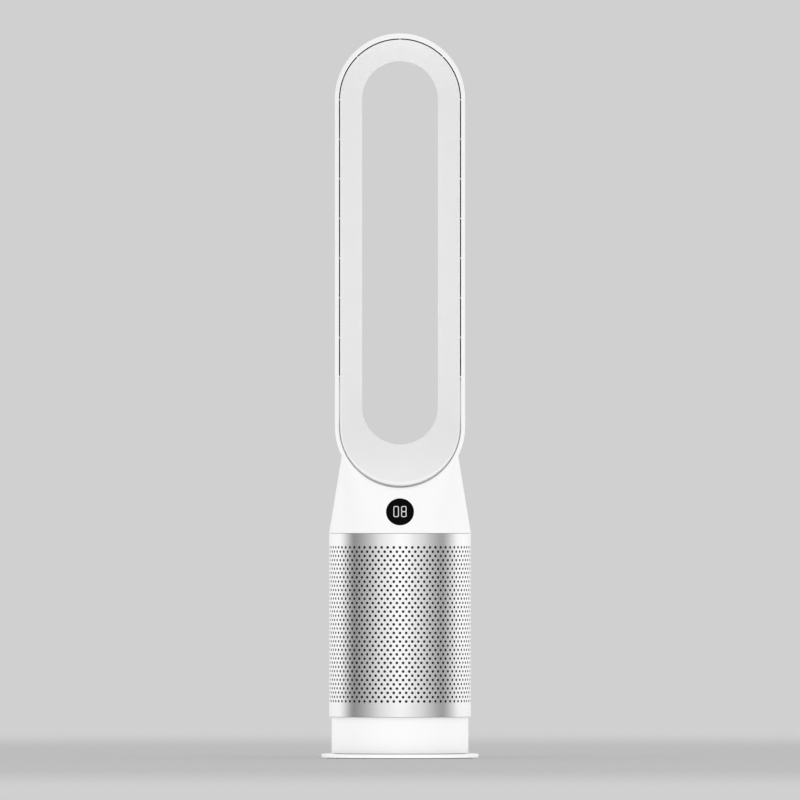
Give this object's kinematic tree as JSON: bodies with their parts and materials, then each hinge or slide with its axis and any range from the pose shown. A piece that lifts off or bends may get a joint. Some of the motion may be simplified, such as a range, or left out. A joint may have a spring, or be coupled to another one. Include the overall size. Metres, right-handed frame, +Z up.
{
  "type": "bladeless tower fan",
  "caption": "Bladeless tower fan with a filter drum: an oblong air loop over a tapered neck, perforated shrouds, a turning column and a round base plate.",
  "frame": {"origin": "centre of the underside, on the axis that the tower turns about", "axes": "+Z up, -Y the front with the display and the air slot, +X to the right seen from the front"},
  "size_m": [0.228, 0.228, 1.05],
  "materials": {
    "white_gloss": "satin white moulded plastic",
    "light_plastic": "satin off-white moulded plastic",
    "brushed_metal": "satin perforated aluminium sheet",
    "steel": "plain zinc-plated steel",
    "bearing_steel": "ground steel",
    "rubber": "matt black rubber",
    "white_rubber": "soft light grey seal",
    "grey_plastic": "matt light grey plastic",
    "dark_plastic": "matt dark grey plastic",
    "gear_plastic": "natural acetal",
    "filter_paper": "pleated glass-fibre paper",
    "filter_frame": "matt white plastic",
    "carbon": "carbon granules in a mesh sleeve",
    "circuit_board": "green solder mask",
    "display_glass": "gloss black window",
    "display_white": "lit white digits"
  },
  "bodies": {
    "base": {"base_plate": "white_gloss", "foot_ring": "rubber", "ballast_plate": "steel", "pivot_post": "steel", "sun_gear": "gear_plastic", "glide_washer": "gear_plastic", "post_cap": "steel", "base_screws": "steel", "cord_gland": "rubber"},
    "tower": {"column_skirt": "white_gloss", "turntable": "grey_plastic", "oscillation_motor": "dark_plastic", "control_board": "circuit_board", "column_screws": "steel", "drum_floor": "grey_plastic", "filter_cage": "grey_plastic", "drum_top_ring": "grey_plastic", "front_carbon_filter": "carbon", "rear_carbon_filter": "carbon", "inlet_grille": "dark_plastic", "motor_bucket": "grey_plastic", "motor_bearings": "bearing_steel", "fan_motor": "dark_plastic", "diffuser_vanes": "grey_plastic", "isolator_ring": "rubber", "air_duct": "grey_plastic", "neck_housing": "white_gloss", "loop_shell": "white_gloss", "loop_face": "light_plastic", "loop_gasket": "white_rubber", "slot_spacers": "white_gloss", "slot_seal": "white_rubber", "display_window": "display_glass", "display_digits": "display_white", "display_board": "circuit_board", "left_button_spring": "steel", "right_button_spring": "steel", "power_button_spring": "steel"},
    "pinion": {"pinion": "gear_plastic"},
    "rotor": {"impeller": "dark_plastic", "rotor_shaft": "bearing_steel"},
    "front_cover": {"front_shroud": "brushed_metal", "front_filter_frame": "filter_frame", "front_hepa_pleats": "filter_paper"},
    "rear_cover": {"rear_shroud": "brushed_metal", "rear_filter_frame": "filter_frame", "rear_hepa_pleats": "filter_paper"},
    "left_release": {"left_release_button": "white_gloss"},
    "right_release": {"right_release_button": "white_gloss"},
    "power": {"power_button": "white_gloss"}
  },
  "joints": [
    {"name": "oscillation", "type": "hinge", "parent": "base", "child": "tower", "pos_m": [0, 0, 0], "axis": [0, 0, 1], "range_deg": [-175, 175]},
    {"name": "pinion_spin", "type": "hinge", "parent": "tower", "child": "pinion", "pos_m": [0, -0.05625, 0], "axis": [0, 0, 1], "range_deg": [-700, 700]},
    {"name": "impeller_spin", "type": "hinge", "parent": "tower", "child": "rotor", "pos_m": [0, 0, 0], "axis": [0, 0, 1], "continuous": true},
    {"name": "front_cover_off", "type": "slide", "parent": "tower", "child": "front_cover", "axis": [0, -1, 0], "range_m": [0, 0.15]},
    {"name": "rear_cover_off", "type": "slide", "parent": "tower", "child": "rear_cover", "axis": [0, 1, 0], "range_m": [0, 0.15]},
    {"name": "left_release_press", "type": "slide", "parent": "tower", "child": "left_release", "axis": [1, 0, 0], "range_m": [0, 0.003], "stiffness_N_per_m": 400, "springref_m": -0.003, "deforming": ["left_button_spring"]},
    {"name": "right_release_press", "type": "slide", "parent": "tower", "child": "right_release", "axis": [-1, 0, 0], "range_m": [0, 0.003], "stiffness_N_per_m": 400, "springref_m": -0.003, "deforming": ["right_button_spring"]},
    {"name": "power_press", "type": "slide", "parent": "tower", "child": "power", "axis": [0, -1, 0], "range_m": [0, 0.003], "stiffness_N_per_m": 400, "springref_m": -0.003, "deforming": ["power_button_spring"]}
  ],
  "couplings": [
    {"joint": "pinion_spin", "follows": "oscillation", "ratio": 4}
  ]
}
